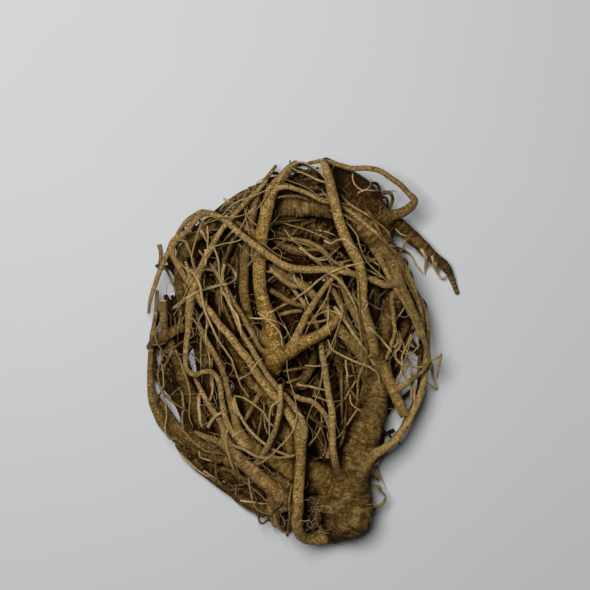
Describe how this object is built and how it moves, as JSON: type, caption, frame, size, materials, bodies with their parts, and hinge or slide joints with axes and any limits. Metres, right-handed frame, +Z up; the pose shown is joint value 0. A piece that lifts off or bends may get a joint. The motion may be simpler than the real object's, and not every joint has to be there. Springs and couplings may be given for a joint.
{
  "type": "bellflower root",
  "caption": "Large branched bellflower (doraji) root, dug up and coiled into a loose nest, lying on its side.",
  "frame": {"origin": "on the surface that the root lies on, under the middle of the nest's bounding box", "axes": "+Z up from that surface; the crown points to -Y and the roots run towards +Y; +X to the right with the crown at the front"},
  "size_m": [0.2377, 0.2923, 0.0542],
  "materials": {
    "root_skin": "matt ochre-brown skin with ring wrinkles and soil"
  },
  "bodies": {
    "root": {"bellflower_root": "root_skin"}
  },
  "joints": []
}
